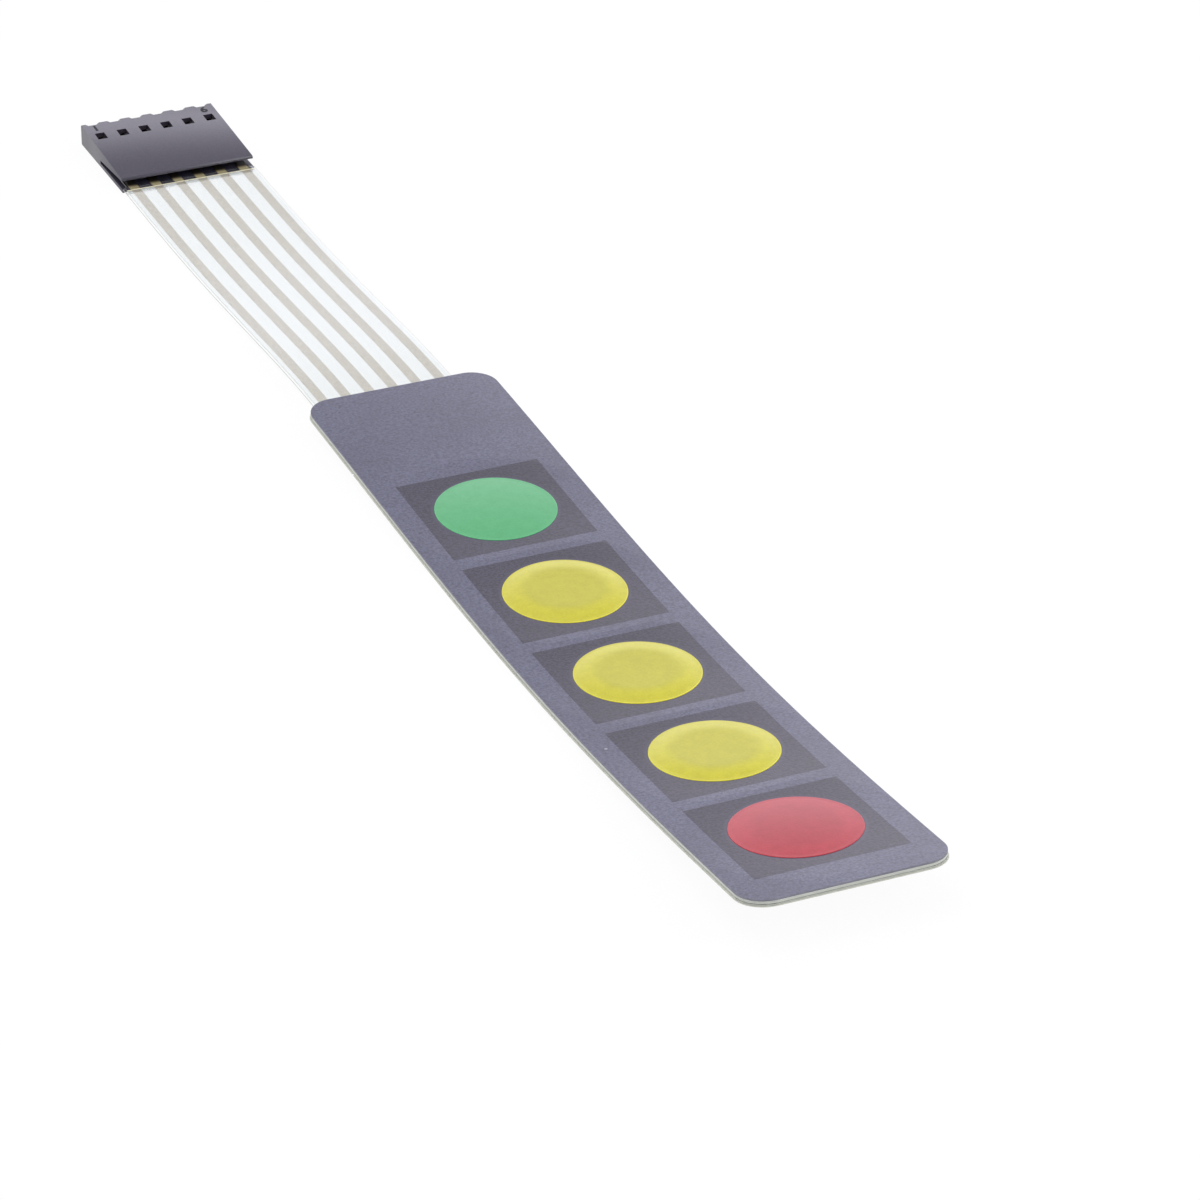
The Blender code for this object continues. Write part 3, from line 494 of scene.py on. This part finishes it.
# Cuts a flat solid at each step of the line and lays it along it
def layOnStrip(solid):
    low = min(v.co.y for v in solid.verts)
    high = max(v.co.y for v in solid.verts)
    for s in line[1:-1, 0]:
        if low + strip["endMargin"] < s < high - strip["endMargin"]:
            cutThrough(solid, (0, s, 0), (0, 1, 0))
    for v in solid.verts:
        v.co = onStrip(*v.co)


# Flat outlines, as lists of (x, s)

def arc(centre, radius, start, end, step=radians(5.0)):
    count = max(2, round(abs(end - start) / step))
    angles = [start + (end - start) * i / count for i in range(count + 1)]
    return [(centre[0] + radius * cos(a), centre[1] + radius * sin(a)) for a in angles]


panel = {
    "width": 20.0 * mm,
    "corner": 2.8 * mm,
    "keyPitch": 17.0 * mm,
    "firstKey": 11.6 * mm,
    "keyRadius": 6.0 * mm,
    "holeRadius": 6.015 * mm,
    "overlayBottom": 0.397 * mm,
    "overlayThickness": 0.18 * mm,
    "fieldSide": 15.0 * mm,
    "filmThickness": 0.10 * mm,
    "linerMargin": 0.10 * mm,
    "linerTab": 14.0 * mm,
    "linerSlit": 0.30 * mm,
    "linerBottom": -0.116 * mm,
    "linerThickness": 0.06 * mm,
}


def keyPlace(index):
    return panel["firstKey"] + index * panel["keyPitch"]


def panelOutline(margin=0.0):
    half = panel["width"] / 2 - panel["corner"]
    far = strip["panelLength"] - panel["corner"]
    outline = []
    corners = ((half, panel["corner"]), (half, far), (-half, far), (-half, panel["corner"]))
    for i, centre in enumerate(corners):
        outline += arc(centre, panel["corner"] + margin, (i - 1) * pi / 2, i * pi / 2)
    return outline


# The liner's long piece and its peel tab, on the two sides of the slit
def linerOutlines():
    outline = panelOutline(panel["linerMargin"])
    side = panel["width"] / 2 + panel["linerMargin"]
    slit = strip["panelLength"] - panel["linerTab"]
    near = slit - panel["linerSlit"] / 2
    far = slit + panel["linerSlit"] / 2
    longPiece = [(side, near), (-side, near)] + [(x, s) for x, s in outline if s < near and x < 0]
    longPiece += [(x, s) for x, s in outline if s < near and x >= 0]
    return longPiece, [(-side, far), (side, far)] + [(x, s) for x, s in outline if s > far]


tail = {
    "offset": -1.2 * mm,
    "width": 15.24 * mm,
    "endGap": 0.3 * mm,
    "ledge": -0.1 * mm,
    "slotInset": 0.55 * mm,
    "coverInset": 0.25 * mm,
    "coverGap": 0.05 * mm,
    "coverBottom": 0.131 * mm,
    "coverThickness": 0.04 * mm,
    "beadSetback": 0.62 * mm,
    "beadWidth": 0.16 * mm,
    "beadThickness": 0.012 * mm,
    "beadGap": 0.001 * mm,
}


# The circuit film: as wide as the panel under it, then the tail, narrower where it enters the slot
def filmOutline():
    half = panel["width"] / 2 - panel["corner"]
    far = strip["panelLength"] - panel["corner"]
    end = strip["panelLength"] + strip["tailLength"] + strip["slotLength"] - tail["endGap"]
    sides = []
    for side in (1, -1):
        edge = side * tail["offset"] + tail["width"] / 2
        corner = arc((half, far), panel["corner"], 0.0, acos(min(1.0, (edge - half) / panel["corner"])))
        narrow = strip["panelLength"] + strip["tailLength"] + tail["ledge"]
        inner = edge - tail["slotInset"]
        slotted = [(edge, narrow), (inner, narrow + tail["slotInset"]), (inner, end)]
        sides.append([(side * x, s) for x, s in corner + slotted])
    near = arc((half, panel["corner"]), panel["corner"], -pi / 2, 0.0)
    return near + sides[0] + sides[1][::-1] + [(-x, s) for x, s in near[::-1]]


# A band across the tail, as wide as its cover film
def coverBand(start, end):
    left = tail["offset"] - tail["width"] / 2 + tail["coverInset"]
    right = tail["offset"] + tail["width"] / 2 - tail["coverInset"]
    return [(left, start), (right, start), (right, end), (left, end)]


# A flat solid from closed outlines: the first is its edge, the rest are holes
def flatSolid(outlines, bottom, thickness):
    curve = bpy.data.curves.new("outline", "CURVE")
    curve.dimensions = "2D"
    curve.fill_mode = "BOTH"
    curve.extrude = thickness / 2
    for outline in outlines:
        spline = curve.splines.new("POLY")
        spline.points.add(len(outline) - 1)
        spline.use_cyclic_u = True
        for point, (x, s) in zip(spline.points, outline):
            point.co = (x, s, 0.0, 1.0)
    drawn = bpy.data.objects.new("outline", curve)
    bpy.context.scene.collection.objects.link(drawn)
    graph = bpy.context.evaluated_depsgraph_get()
    data = bpy.data.meshes.new_from_object(drawn.evaluated_get(graph))
    solid = bmesh.new()
    solid.from_mesh(data)
    bpy.data.objects.remove(drawn, do_unlink=True)
    bpy.data.meshes.remove(data)
    bmesh.ops.remove_doubles(solid, verts=solid.verts, dist=mergeDistance)
    bmesh.ops.translate(solid, verts=solid.verts, vec=(0, 0, bottom + thickness / 2))
    return solid


# A smooth-shaded piece of the object from a solid: its upright faces take edgeFinish where one is given
def addPiece(name, solid, body, finishes, nodes, edgeFinish=None):
    bmesh.ops.recalc_face_normals(solid, faces=solid.faces)
    if edgeFinish:
        for face in solid.faces:
            if abs(face.normal.z) < 0.5:
                face.material_index = len(finishes)
        finishes = finishes + [edgeFinish]
    data = bpy.data.meshes.new(name)
    solid.to_mesh(data)
    solid.free()
    data.shade_smooth()
    data.set_sharp_from_angle(angle=radians(30.0))
    for finish in finishes:
        data.materials.append(finish)
    made = bpy.data.objects.new(name, data)
    bpy.context.scene.collection.objects.link(made)
    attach(made, body)
    if nodes:
        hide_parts(*nodes)
    return made


# The overlay is cut along the sides of its dark squares, so that they take their own print
def addOverlay():
    windows = [arc((0, keyPlace(i)), panel["holeRadius"], 0, 2 * pi, radians(3.0))[:-1]
               for i in range(keyCount)]
    solid = flatSolid([panelOutline()] + windows, panel["overlayBottom"], panel["overlayThickness"])
    half = panel["fieldSide"] / 2
    cuts = [((x, 0, 0), (1, 0, 0)) for x in (-half, half)]
    for i in range(keyCount):
        cuts += [((0, keyPlace(i) + side * half, 0), (0, 1, 0)) for side in (-1, 1)]
    for place, direction in cuts:
        cutThrough(solid, place, direction)
    for face in solid.faces:
        middle = face.calc_center_median()
        along = min(abs(middle.y - keyPlace(i)) for i in range(keyCount)) < half
        face.material_index = int(abs(middle.x) < half and along and face.normal.z > 0.5)
    layOnStrip(solid)
    addPiece("graphicOverlay", solid, "panel", [greyVelvet, darkVelvet], ["graphic_overlay"],
             greyEdge)


# A turned solid on the strip, from a profile of (radius, height) points that starts and ends on its axis
def turnedSolid(profile, sides, s, bottom):
    solid = bmesh.new()
    points = [solid.verts.new((r, 0.0, h)) for r, h in profile]
    for a, b in zip(points, points[1:]):
        solid.edges.new((a, b))
    bmesh.ops.spin(
        solid, geom=solid.verts[:] + solid.edges[:], cent=(0, 0, 0), axis=(0, 0, 1), angle=2 * pi,
        steps=sides, use_merge=True,
    )
    bmesh.ops.remove_doubles(solid, verts=solid.verts, dist=mergeDistance)
    bmesh.ops.translate(solid, verts=solid.verts, vec=(0, s, bottom))
    for v in solid.verts:
        v.co = onStrip(*v.co)
    return solid


# Each key's dome: heights are over the overlay's top face, and the lip is the step up at its rim
dome = {
    "rise": 0.42 * mm,
    "rim": 0.25 * mm,
    "lip": 0.06 * mm,
    "lipRound": 0.055 * mm,
    "lipStep": radians(20.0),
    "flatCrown": {"red": 0.0, "yellow": 3.4 * mm, "green": 0.0},
    "rings": 24,
    "sides": 120,
}


# The key's height over the overlay at a distance from its middle, with a flat crown of so much radius
def crown(radius, flat):
    edge = panel["keyRadius"] - dome["rim"]
    share = min(1.0, max(0.0, radius - flat) / (edge - flat))
    return dome["lip"] + (dome["rise"] - dome["lip"]) * (1.0 - share**2)


def addKey(index):
    colour = keyNames[index].split("_")[0]
    flat = dome["flatCrown"][colour]
    thick = panel["overlayThickness"]
    edge = panel["keyRadius"] - dome["rim"]
    radii = [edge * i / dome["rings"] for i in range(dome["rings"] + 1)]
    top = [(r, thick + crown(r, flat)) for r in radii]
    top += arc((panel["keyRadius"] - dome["lipRound"], thick + dome["lip"] - dome["lipRound"]),
               dome["lipRound"], pi / 2, 0.0, dome["lipStep"])
    under = [(panel["keyRadius"], 0.0)] + [(r, crown(r, flat)) for r in radii[::-2]]
    solid = turnedSolid(top + under, dome["sides"], keyPlace(index), panel["overlayBottom"])
    name = "key_" + keyNames[index]
    addPiece("dome_" + keyNames[index], solid, keyNames[index] + "_key", [keyPrints[colour]], [name])


# The sprung metal dome under each key, which the key flattens as it goes down
snapDome = {
    "radius": 4.9 * mm,
    "foot": 0.45 * mm,
    "metal": 0.06 * mm,
    "seat": 0.131 * mm,
    "clearance": 0.02 * mm,
    "rings": 10,
    "sides": 64,
}


def addSnapDome(index):
    rise = panel["overlayBottom"] + dome["rise"] - snapDome["clearance"]
    rise -= snapDome["metal"] + snapDome["seat"]
    foot = snapDome["radius"] - snapDome["foot"]
    shares = [i / snapDome["rings"] for i in range(snapDome["rings"] + 1)]
    over = [(foot * t, snapDome["metal"] + rise * (1.0 - t**2)) for t in shares]
    over.append((snapDome["radius"], snapDome["metal"]))
    under = [(snapDome["radius"], 0.0)] + [(foot * t, rise * (1.0 - t**2)) for t in shares[::-1]]
    s = keyPlace(index)
    solid = turnedSolid(over + under, snapDome["sides"], s, snapDome["seat"])
    made = addPiece("snapDome_" + keyNames[index], solid, "panel", [springSteel],
                    ["snap_dome_" + keyNames[index]])
    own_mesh(made)


def addFilms():
    solid = flatSolid([filmOutline()], 0.0, panel["filmThickness"])
    layOnStrip(solid)
    addPiece("circuitFilm", solid, "panel", [clearPolyester], ["circuit_film"],
             frostedEdge)
    liners = {"linerSheet": "release_liner", "linerTab": "liner_tab"}
    for (name, node), outline in zip(liners.items(), linerOutlines()):
        solid = flatSolid([outline], panel["linerBottom"], panel["linerThickness"])
        layOnStrip(solid)
        addPiece(name, solid, "panel", [releasePaper], [node])
    start = strip["panelLength"] + tail["coverGap"]
    end = strip["panelLength"] + strip["tailLength"]
    solid = flatSolid([coverBand(start, end - tail["coverGap"])], tail["coverBottom"], tail["coverThickness"])
    layOnStrip(solid)
    addPiece("coverFilm", solid, "panel", [clearPolyester], ["tail_cover"], frostedEdge)
    end -= tail["beadSetback"]
    top = tail["coverBottom"] + tail["coverThickness"] + tail["beadGap"]
    solid = flatSolid([coverBand(end - tail["beadWidth"], end)], top, tail["beadThickness"])
    layOnStrip(solid)
    addPiece("coverFilmBead", solid, "panel", [adhesiveBead], [])


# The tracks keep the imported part's own meshes: on the tail they are cut finer and moved from its flat
# facets to the smooth line, with the circuit film
def addTrack(nodeName):
    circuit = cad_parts["circuit_film"]
    places = [circuit.matrix_world @ v.co for v in circuit.data.vertices]
    tailStart = line[strip["panelSteps"] + 1, 1] - strip["endMargin"]
    base = np.array(sorted(
        (p.y, p.z) for p in places if p.y > tailStart
        and abs(p.z - np.interp(p.y, line[:, 1], line[:, 2])) < panel["filmThickness"] / 2))
    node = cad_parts[nodeName]
    solid = bmesh.new()
    solid.from_mesh(node.data)
    solid.transform(node.matrix_world)
    bmesh.ops.remove_doubles(solid, verts=solid.verts, dist=1e-7)
    for y in line[strip["panelSteps"] + 1:-1, 1]:
        cutThrough(solid, (0, y, 0), (0, 1, 0))
    for v in solid.verts:
        if v.co.y > base[0, 0]:
            v.co.z += np.interp(v.co.y, line[:, 1], line[:, 2])
            v.co.z -= np.interp(v.co.y, base[:, 0], base[:, 1])
    name = "inkTrack_" + nodeName.split("_", 1)[1]
    addPiece(name, solid, "panel", [silverInk], [nodeName])


# Plain way numbers engraved in front of the first and the last window. They are drawn as thin strokes,
# near black as painted shade of the engraving, that lie in the cover's sloping face.
digit = {
    "size": 1.6 * mm,
    "setback": 1.38 * mm,
    "boldness": 0.06 * mm,
    "flatness": 0.15,
    "frontHeight": 2.35 * mm,
    "slope": 0.0568,
    "pitch": 2.54 * mm,
    "ways": 6,
}


def addDigit(name, text, way):
    curve = bpy.data.curves.new(name, "FONT")
    curve.body = text
    curve.size = digit["size"]
    curve.align_x = "CENTER"
    curve.align_y = "CENTER"
    curve.bevel_depth = digit["boldness"]
    drawn = bpy.data.objects.new(name, curve)
    bpy.context.scene.collection.objects.link(drawn)
    data = bpy.data.meshes.new_from_object(drawn.evaluated_get(bpy.context.evaluated_depsgraph_get()))
    solid = bmesh.new()
    solid.from_mesh(data)
    bpy.data.objects.remove(drawn, do_unlink=True)
    bpy.data.meshes.remove(data)
    bmesh.ops.remove_doubles(solid, verts=solid.verts, dist=mergeDistance)
    x = tail["offset"] + (way - (digit["ways"] - 1) / 2) * digit["pitch"]
    y = housingBox[1].y - digit["setback"]
    z = digit["frontHeight"] - digit["setback"] * digit["slope"]
    lay = Matrix.Translation((x, y, z)) @ Matrix.Rotation(digit["slope"], 4, "X")
    lay = lay @ Matrix.Scale(digit["flatness"], 4, (0, 0, 1))
    bmesh.ops.transform(solid, matrix=lay, verts=solid.verts)
    addPiece(name, solid, "panel", [engravingPaintedShade], [])


addOverlay()
for keyIndex in range(keyCount):
    addKey(keyIndex)
    addSnapDome(keyIndex)
addFilms()
for nodeName in sorted(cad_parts):
    if nodeName.startswith("track_"):
        addTrack(nodeName)
addDigit("wayNumberFirst", "1", 0)
addDigit("wayNumberLast", "6", digit["ways"] - 1)
print("panel, tail and way numbers made")


# CAD nodes that keep their own mesh
nodeFinishes = {
    "overlay_adhesive": transferAdhesive,
    "rear_adhesive": transferAdhesive,
    "dome_spacer": whitePolyester,
    "connector_housing": mouldedPolyester,
    "contact": tinnedBrass,
}
for nodeName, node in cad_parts.items():
    for start, finish in nodeFinishes.items():
        if nodeName.startswith(start):
            node.data.materials.clear()
            node.data.materials.append(finish)
print("node finishes set")


# Floor, lamps and world: an even white sweep with soft light from above and from beyond the panel
studio = {
    "floorSide": 8.0,
    "floorDrop": 0.02 * mm,
    "floorColour": "#F6F6F6",
    "floorGlow": 0.94,
    "skyTint": "#F7F5FF",
    "horizonLevel": 1.80,
    "zenithLevel": 0.75,
    "nearLevel": 0.70,
    "beyond": (0.403, 0.915, 0.0),
    "turnRange": (-0.3, 0.3),
    "heightRange": (0.20, 0.75),
    "lamps": {
        "topSoftbox": {"place": (-0.15, 0.10, 0.75), "size": 0.6, "power": 2.2},
        "frontSoftbox": {"place": (0.28, -0.28, 0.28), "size": 0.2, "power": 0.4},
    },
}


def makeFloor():
    data = bpy.data.meshes.new("floor")
    half = studio["floorSide"] / 2
    corners = [(-half, -half, 0), (half, -half, 0), (half, half, 0), (-half, half, 0)]
    data.from_pydata(corners, [], [(0, 1, 2, 3)])
    floor = bpy.data.objects.new("floor", data)
    floor.location.z = -studio["floorDrop"]
    bpy.context.scene.collection.objects.link(floor)
    made = bpy.data.materials.new("whiteSweep")
    made.use_nodes = True
    tree = made.node_tree
    tree.nodes.clear()
    path = addNode(tree, "ShaderNodeLightPath", {}, {})
    seen = addNode(tree, "ShaderNodeMath", {"operation": "MAXIMUM"}, {
        0: path.outputs["Is Camera Ray"], 1: path.outputs["Is Glossy Ray"]})
    seen = addNode(tree, "ShaderNodeMath", {"operation": "MAXIMUM"}, {
        0: seen.outputs[0], 1: path.outputs["Is Transmission Ray"]})
    share = addNode(tree, "ShaderNodeMath", {"operation": "MULTIPLY"}, {
        0: seen.outputs[0], 1: studio["floorGlow"]})
    lit = addNode(tree, "ShaderNodeBsdfDiffuse", {}, {"Color": linear(studio["floorColour"])})
    glow = addNode(tree, "ShaderNodeEmission", {}, {"Strength": 1.0})
    both = addNode(tree, "ShaderNodeMixShader", {}, {
        0: share.outputs[0], 1: lit.outputs[0], 2: glow.outputs[0]})
    addNode(tree, "ShaderNodeOutputMaterial", {}, {"Surface": both.outputs[0]})
    data.materials.append(made)


def makeLight():
    world = bpy.data.worlds.new("softRoom")
    bpy.context.scene.world = world
    world.use_nodes = True
    tree = world.node_tree
    tree.nodes.clear()
    path = addNode(tree, "ShaderNodeLightPath", {}, {})
    seen = addNode(tree, "ShaderNodeMath", {"operation": "MAXIMUM"}, {
        0: path.outputs["Is Camera Ray"], 1: path.outputs["Is Transmission Ray"]})
    direction = addNode(tree, "ShaderNodeTexCoord", {}, {}).outputs["Generated"]
    height = addNode(tree, "ShaderNodeSeparateXYZ", {}, {0: direction}).outputs["Z"]
    start, end = studio["heightRange"]
    level = addNode(tree, "ShaderNodeMapRange", {"interpolation_type": "SMOOTHSTEP"}, {
        "Value": height, "From Min": start, "From Max": end,
        "To Min": studio["horizonLevel"], "To Max": studio["zenithLevel"]})
    facing = addNode(tree, "ShaderNodeVectorMath", {"operation": "DOT_PRODUCT"}, {
        0: direction, 1: studio["beyond"]})
    start, end = studio["turnRange"]
    side = addNode(tree, "ShaderNodeMapRange", {"interpolation_type": "SMOOTHSTEP"}, {
        "Value": facing.outputs["Value"], "From Min": start, "From Max": end})
    around = addNode(tree, "ShaderNodeMix", {}, {
        0: side.outputs[0], 2: studio["nearLevel"], 3: level.outputs[0]})
    shown = addNode(tree, "ShaderNodeMix", {}, {0: seen.outputs[0], 2: around.outputs[0], 3: 1.0})
    tint = addNode(tree, "ShaderNodeMix", {"data_type": "RGBA"}, {
        0: seen.outputs[0], 6: linear(studio["skyTint"]), 7: linear("#FFFFFF")})
    sky = addNode(tree, "ShaderNodeBackground", {}, {
        "Color": tint.outputs[2], "Strength": shown.outputs[0]})
    addNode(tree, "ShaderNodeOutputWorld", {}, {"Surface": sky.outputs[0]})
    for name, values in studio["lamps"].items():
        data = bpy.data.lights.new(name, "AREA")
        data.energy = values["power"]
        data.size = values["size"]
        lamp = bpy.data.objects.new(name, data)
        lamp.location = values["place"]
        lamp.rotation_euler = lamp.location.to_track_quat("Z", "Y").to_euler()
        bpy.context.scene.collection.objects.link(lamp)


makeFloor()
makeLight()
bpy.context.scene.view_settings.view_transform = "Standard"
print("studio lit")
